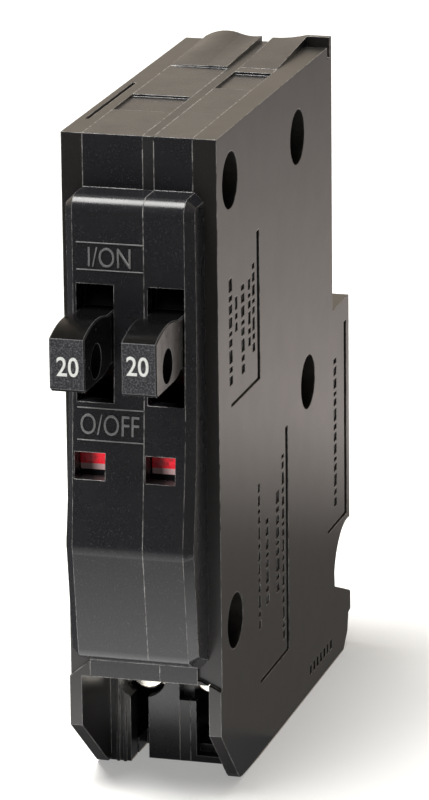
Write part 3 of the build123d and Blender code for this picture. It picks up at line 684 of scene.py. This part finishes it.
def reflector_glow(name, start, end, stops):
    """Glow of a reflector card that changes from its start to its end; each stop is a place and a colour."""
    material = new_material(name)
    nodes = material.node_tree.nodes
    links = material.node_tree.links

    place = nodes.new("ShaderNodeTexCoord")
    place.label = "place on the card"
    place.location = (-900, 0)

    split = nodes.new("ShaderNodeSeparateXYZ")
    split.label = "how far back"
    split.location = (-700, 0)
    links.new(place.outputs["Object"], split.inputs["Vector"])

    share = nodes.new("ShaderNodeMapRange")
    share.label = "share of the way"
    share.location = (-500, 0)
    share.inputs["From Min"].default_value = start
    share.inputs["From Max"].default_value = end
    links.new(split.outputs["Y"], share.inputs["Value"])

    ramp = nodes.new("ShaderNodeValToRGB")
    ramp.label = "glow along the card"
    ramp.location = (-300, 0)
    ramp.color_ramp.elements[0].color = (*stops[0][1], 1.0)
    ramp.color_ramp.elements[1].color = (*stops[-1][1], 1.0)
    for distance, colour in stops[1:-1]:
        stop = ramp.color_ramp.elements.new((distance - start) / (end - start))
        stop.color = (*colour, 1.0)
    links.new(share.outputs["Result"], ramp.inputs["Fac"])

    glow = nodes.new("ShaderNodeEmission")
    glow.label = "card glow"
    glow.location = (50, 0)
    links.new(ramp.outputs["Color"], glow.inputs["Color"])

    output = nodes.new("ShaderNodeOutputMaterial")
    output.label = "surface"
    output.location = (250, 0)
    links.new(glow.outputs["Emission"], output.inputs["Surface"])
    material.cycles.emission_sampling = "NONE"
    return material


case_front_black = moulded_plastic(
    "case_front_black", deep=(0.008, 0.008, 0.010), cloudy=(0.014, 0.014, 0.016), fleck=(0.09, 0.09, 0.10),
    roughness=0.27, patchiness=0.03, grain_size=0.45 * MM, grain_depth=0.004 * MM, streak_depth=0.001 * MM,
    edge_width=0.14 * MM, wear_and_highlight=0.85,
)
case_side_black = moulded_plastic(
    "case_side_black", deep=(0.011, 0.010, 0.0095), cloudy=(0.015, 0.014, 0.013), fleck=(0.07, 0.068, 0.065),
    roughness=0.29, patchiness=0.012, grain_size=0.6 * MM, grain_depth=0.0012 * MM, streak_depth=0.0022 * MM,
    edge_width=0.14 * MM, wear_and_highlight=0.7,
)
barrier_black = moulded_plastic(
    "barrier_black", deep=(0.012, 0.012, 0.012), cloudy=(0.020, 0.0195, 0.019), fleck=(0.10, 0.10, 0.10),
    roughness=0.33, patchiness=0.03, grain_size=0.3 * MM, grain_depth=0.004 * MM, streak_depth=0.002 * MM,
    edge_width=0.14 * MM, wear_and_highlight=0.9,
)
toggle_black = toggle_plastic("toggle_black", TOGGLE_FRONT_Y + 0.05 * MM)
# The raised letters and panel ribs are light grey, far paler than the case: a painted highlight on their raised
# faces.
letter_highlight_grey = moulded_plastic(
    "letter_highlight_grey", deep=(0.08, 0.08, 0.083), cloudy=(0.18, 0.18, 0.185), fleck=(0.4, 0.4, 0.4),
    roughness=0.34, patchiness=0.05, grain_size=0.2 * MM, grain_depth=0.006 * MM, streak_depth=0.0004 * MM,
    edge_width=0.05 * MM, wear_and_highlight=0.9,
)
left_flag_red = flag_plastic("left_flag_red", 42.05 * MM, 42.8 * MM, -5.4 * MM, -3.9 * MM)
right_flag_red = flag_plastic("right_flag_red", 42.05 * MM, 42.8 * MM, 3.3 * MM, 4.8 * MM)
white_ink = printed_ink("white_ink", (0.66, 0.68, 0.66), (0.46, 0.47, 0.46))
rolled_copper = bare_metal("rolled_copper", (0.72, 0.38, 0.22), (0.30, 0.15, 0.09), 0.32, 2400.0, (1.0, 0.05, 1.0))
braided_copper = bare_metal("braided_copper", (0.66, 0.34, 0.20), (0.22, 0.10, 0.06), 0.45, 5200.0, (1.0, 1.0, 0.4))
silver_alloy = bare_metal("silver_alloy", (0.86, 0.85, 0.82), (0.50, 0.48, 0.42), 0.28, 1800.0, (1.0, 1.0, 1.0))
zinc_steel = bare_metal("zinc_steel", (0.56, 0.56, 0.55), (0.34, 0.33, 0.31), 0.36, 2600.0, (1.0, 0.06, 1.0))
bright_plating = bare_metal("bright_plating", (0.86, 0.83, 0.77), (0.62, 0.57, 0.48), 0.24, 2200.0, (1.0, 1.0, 0.3))
spring_wire = bare_metal("spring_wire", (0.42, 0.42, 0.44), (0.22, 0.21, 0.20), 0.34, 3800.0, (1.0, 1.0, 0.2))
bimetal_strip = bare_metal("bimetal_strip", (0.62, 0.57, 0.48), (0.36, 0.31, 0.24), 0.33, 2600.0, (1.0, 1.0, 0.04))
blackened_steel = bare_metal("blackened_steel", (0.030, 0.030, 0.031), (0.014, 0.013, 0.013), 0.48, 2600.0, (1.0, 0.1, 1.0))

SHARED_FINISHES = {
    "left_case": case_front_black,
    "right_case": case_front_black,
    "left_cover": case_side_black,
    "right_cover": case_side_black,
    "centre_barrier": barrier_black,
    "case_rivets": blackened_steel,
    "line_jaw": rolled_copper,
    "jaw_spring": spring_wire,
    "left_trip_flag": left_flag_red,
    "right_trip_flag": right_flag_red,
}
POLE_FINISHES = {
    "handle": toggle_black,
    "trip_lever": zinc_steel,
    "contact_arm": rolled_copper,
    "moving_contact": silver_alloy,
    "fixed_contact": silver_alloy,
    "line_strap": rolled_copper,
    "load_strap": rolled_copper,
    "braid": braided_copper,
    "mechanism_spring": spring_wire,
    "pivot_pins": zinc_steel,
    "armature": zinc_steel,
    "yoke": zinc_steel,
    "bimetal": bimetal_strip,
    "calibration_screw": zinc_steel,
    "arc_plates": blackened_steel,
    "terminal_lug": bright_plating,
    "terminal_screw": bright_plating,
    "clamp_plate": bright_plating,
}


def finish_node(node, material):
    """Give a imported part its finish."""
    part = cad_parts[node]
    part.data.materials.clear()
    part.data.materials.append(material)


for node, material in SHARED_FINISHES.items():
    finish_node(node, material)
for pole in ("left", "right"):
    for piece, material in POLE_FINISHES.items():
        finish_node(f"{pole}_{piece}", material)


# Raised and printed marks


def letters(name, words, height, width_share, relief, boldness, middle, lean, material, body):
    """Figures or letters that stand on a face which looks forward and leans by an angle."""
    bpy.ops.object.select_all(action="DESELECT")
    bpy.ops.object.text_add(location=(0, 0, 0))
    shape = bpy.context.object
    shape.data.body = words
    shape.data.align_x = "CENTER"
    shape.data.align_y = "CENTER"
    shape.data.size = height / 0.72
    shape.data.offset = boldness
    shape.data.extrude = relief / 2
    shape.data.resolution_u = 4
    bpy.ops.object.convert(target="MESH")
    shape = bpy.context.object
    shape.name = name
    shape.data.name = name
    shape.scale = (width_share, 1.0, 1.0)
    shape.rotation_euler = (math.radians(90.0 + lean), 0.0, 0.0)
    shape.location = middle
    bpy.ops.object.transform_apply(location=True, rotation=True, scale=True)
    shape.data.materials.clear()
    shape.data.materials.append(material)
    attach(shape, body)
    return shape


for pole, x, height in (("left", -4.05, 58.2), ("right", 4.42, 58.8)):
    letters(
        f"{pole}_rating_figures", "20", 2.35 * MM, 0.86, 0.06 * MM, 0.03 * MM,
        Vector((x * MM, TOGGLE_FRONT_Y - 0.01 * MM, height * MM)), 0.0, white_ink, f"{pole}_toggle",
    )


def face_depth(x, height):
    """Depth in millimetres of the front block's face at a place on it."""
    start = at(x, -TOGGLE_REACH / MM, height)
    hit, point, _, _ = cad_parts["left_case"].ray_cast(start, Vector((0.0, 1.0, 0.0)))
    return (point.y - SHOULDER_Y) / MM


def face_letters(name, words, height, width_share, x, middle):
    """Raised letters that follow the slope of the front block."""
    low_depth = face_depth(x, middle - 1.2)
    high_depth = face_depth(x, middle + 1.2)
    lean = math.degrees(math.atan2(low_depth - high_depth, 2.4))
    depth = (low_depth + high_depth) / 2 - 0.03
    letters(
        name, words, height * MM, width_share, 0.16 * MM, -0.03 * MM,
        at(x, depth, middle), lean, letter_highlight_grey, "case",
    )


def panel_rib(name, height):
    """Thin raised line across the left half of the front block, at the edge of a lettered panel."""
    bpy.ops.object.select_all(action="DESELECT")
    bpy.ops.mesh.primitive_cube_add(size=1.0, location=at(-2.27, face_depth(-0.5, height), height))
    rib = bpy.context.object
    rib.name = name
    rib.data.name = name
    rib.scale = (8.2 * MM, 0.16 * MM, 0.13 * MM)
    bpy.ops.object.transform_apply(location=True, rotation=True, scale=True)
    bpy.ops.object.mode_set(mode="EDIT")
    bpy.ops.mesh.select_all(action="SELECT")
    bpy.ops.mesh.bevel(offset=0.03 * MM, segments=2)
    bpy.ops.object.mode_set(mode="OBJECT")
    rib.data.materials.append(letter_highlight_grey)
    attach(rib, "case")


face_letters("on_letters", "I/ON", 2.5, 0.76, -2.3, 68.45)
face_letters("off_letters", "O/OFF", 2.6, 0.72, -2.35, 48.2)
for number, height in enumerate((70.3, 67.0, 50.3, 46.4)):
    panel_rib(f"panel_rib_{number + 1}", height)


# Camera, table and light

camera_data = bpy.data.cameras.new("camera")
camera = bpy.data.objects.new("camera", camera_data)
bpy.context.scene.collection.objects.link(camera)
bpy.context.scene.camera = camera
AZIMUTH = math.radians(15.89)
ELEVATION = math.radians(16.32)
ROLL = math.radians(0.64)
right = Vector((math.cos(AZIMUTH), math.sin(AZIMUTH), 0.0))
ahead = Vector((-math.sin(AZIMUTH) * math.cos(ELEVATION), math.cos(AZIMUTH) * math.cos(ELEVATION), -math.sin(ELEVATION)))
down = ahead.cross(right)
rolled_right = math.cos(ROLL) * right + math.sin(ROLL) * down
rolled_down = -math.sin(ROLL) * right + math.cos(ROLL) * down
axes = Matrix((rolled_right, -rolled_down, -ahead)).transposed().to_4x4()
camera.matrix_world = Matrix.Translation((0.1724456, -0.5944165, 0.223349)) @ axes
camera_data.sensor_width = 36.0
camera_data.lens = 235.17
camera_data.shift_x = -0.0081
camera_data.shift_y = 0.01375
camera_data.clip_start = 0.01
camera_data.clip_end = 20.0

bpy.ops.object.select_all(action="DESELECT")
bpy.ops.mesh.primitive_plane_add(size=8.0, location=(0, 0, 0))
floor = bpy.context.object
floor.name = "table_top"
floor.data.materials.append(pale_floor("table_white", (0.74, 0.74, 0.73), (0.78, 0.78, 0.77), 0.42))
floor.visible_glossy = False


def reflector(name, x_span, y_span, height, material):
    """Card on the table that only the shine of the parts can see."""
    middle = ((x_span[0] + x_span[1]) / 2, (y_span[0] + y_span[1]) / 2, height)
    bpy.ops.object.select_all(action="DESELECT")
    bpy.ops.mesh.primitive_plane_add(size=1.0, location=middle)
    card = bpy.context.object
    card.name = name
    card.scale = (x_span[1] - x_span[0], y_span[1] - y_span[0], 1.0)
    bpy.ops.object.transform_apply(location=True, rotation=True, scale=True)
    card.data.materials.append(material)
    card.visible_camera = False
    card.visible_diffuse = False
    card.visible_shadow = False


# The cards show only in the shine of the parts, so their tones are painted reflections: the dim card darkens the
# table as the shine sees it, the front card brightens the shine on the front, and the side card's low glow close to
# the case is a painted shadow of the case on the table.
dim_tone = (0.12, 0.12, 0.125)
dim_glow = reflector_glow("dim_glow", -4.0, 4.0, ((-4.0, dim_tone), (4.0, dim_tone)))
front_glow = reflector_glow(
    "front_glow",
    -0.120,
    -0.025,
    (
        (-0.120, (1.15, 1.15, 1.18)),
        (-0.078, (0.95, 0.95, 0.95)),
        (-0.064, (2.20, 2.16, 2.14)),
        (-0.045, (3.00, 2.94, 2.90)),
        (-0.025, (3.00, 2.94, 2.90)),
    ),
)
side_glow = reflector_glow(
    "side_glow",
    0.0,
    0.5,
    (
        (0.0, (0.20, 0.185, 0.17)),
        (0.080, (0.20, 0.185, 0.17)),
        (0.105, (0.60, 0.54, 0.50)),
        (0.137, (1.18, 1.06, 0.99)),
        (0.205, (0.88, 0.79, 0.74)),
        (0.285, (0.66, 0.59, 0.55)),
        (0.346, (0.50, 0.45, 0.42)),
        (0.5, (0.35, 0.315, 0.29)),
    ),
)
reflector("dim_reflector", (-4.0, 4.0), (-4.0, 4.0), 0.2 * MM, dim_glow)
reflector("front_reflector", (-80 * MM, 60 * MM), (-120 * MM, -25 * MM), 0.4 * MM, front_glow)
reflector("side_reflector", (0.0, 250 * MM), (0.0, 500 * MM), 0.4 * MM, side_glow)


def softbox(name, place, aim, width, depth, power, colour):
    """Rectangular soft light that looks at a point."""
    light_data = bpy.data.lights.new(name, "AREA")
    light_data.shape = "RECTANGLE"
    light_data.size = width
    light_data.size_y = depth
    light_data.energy = power
    light_data.color = colour
    light = bpy.data.objects.new(name, light_data)
    bpy.context.scene.collection.objects.link(light)
    direction = Vector(aim) - Vector(place)
    light.rotation_mode = "QUATERNION"
    light.rotation_quaternion = direction.to_track_quat("-Z", "Y")
    light.location = place
    return light


softbox("overhead_softbox", (-0.30, -0.25, 1.15), (0.0, 0.0, 0.04), 0.7, 0.7, 26.0, (1.0, 0.99, 0.97))

world = bpy.data.worlds.new("studio")
bpy.context.scene.world = world
world.use_nodes = True
world.node_tree.nodes.clear()
sky_place = world.node_tree.nodes.new("ShaderNodeTexCoord")
sky_place.label = "direction"
sky_split = world.node_tree.nodes.new("ShaderNodeSeparateXYZ")
sky_split.label = "front to back"
sky_tone = world.node_tree.nodes.new("ShaderNodeValToRGB")
sky_tone.label = "dim in front, warm behind"
sky_tone.color_ramp.elements[0].position = 0.25
sky_tone.color_ramp.elements[0].color = (0.16, 0.16, 0.17, 1.0)
sky_tone.color_ramp.elements[1].position = 0.9
sky_tone.color_ramp.elements[1].color = (0.76, 0.66, 0.54, 1.0)
sky_range = world.node_tree.nodes.new("ShaderNodeMapRange")
sky_range.label = "nought to one"
sky_range.inputs["From Min"].default_value = -1.0
sky_rise = world.node_tree.nodes.new("ShaderNodeMapRange")
sky_rise.label = "dimmer overhead"
sky_rise.inputs["From Min"].default_value = 0.38
sky_rise.inputs["From Max"].default_value = 0.75
sky_rise.inputs["To Min"].default_value = 1.0
sky_rise.inputs["To Max"].default_value = 0.35
sky = world.node_tree.nodes.new("ShaderNodeBackground")
sky.label = "studio walls"
sky_output = world.node_tree.nodes.new("ShaderNodeOutputWorld")
sky_output.label = "world"
for step, node in enumerate((sky_place, sky_split, sky_range, sky_rise, sky_tone, sky, sky_output)):
    node.location = (-1000 + 250 * step, 0)
world.node_tree.links.new(sky_place.outputs["Generated"], sky_split.inputs["Vector"])
world.node_tree.links.new(sky_split.outputs["Y"], sky_range.inputs["Value"])
world.node_tree.links.new(sky_split.outputs["Z"], sky_rise.inputs["Value"])
world.node_tree.links.new(sky_rise.outputs["Result"], sky.inputs["Strength"])
world.node_tree.links.new(sky_range.outputs["Result"], sky_tone.inputs["Fac"])
world.node_tree.links.new(sky_tone.outputs["Color"], sky.inputs["Color"])
world.node_tree.links.new(sky.outputs["Background"], sky_output.inputs["Surface"])

bpy.context.scene.view_settings.view_transform = "Standard"
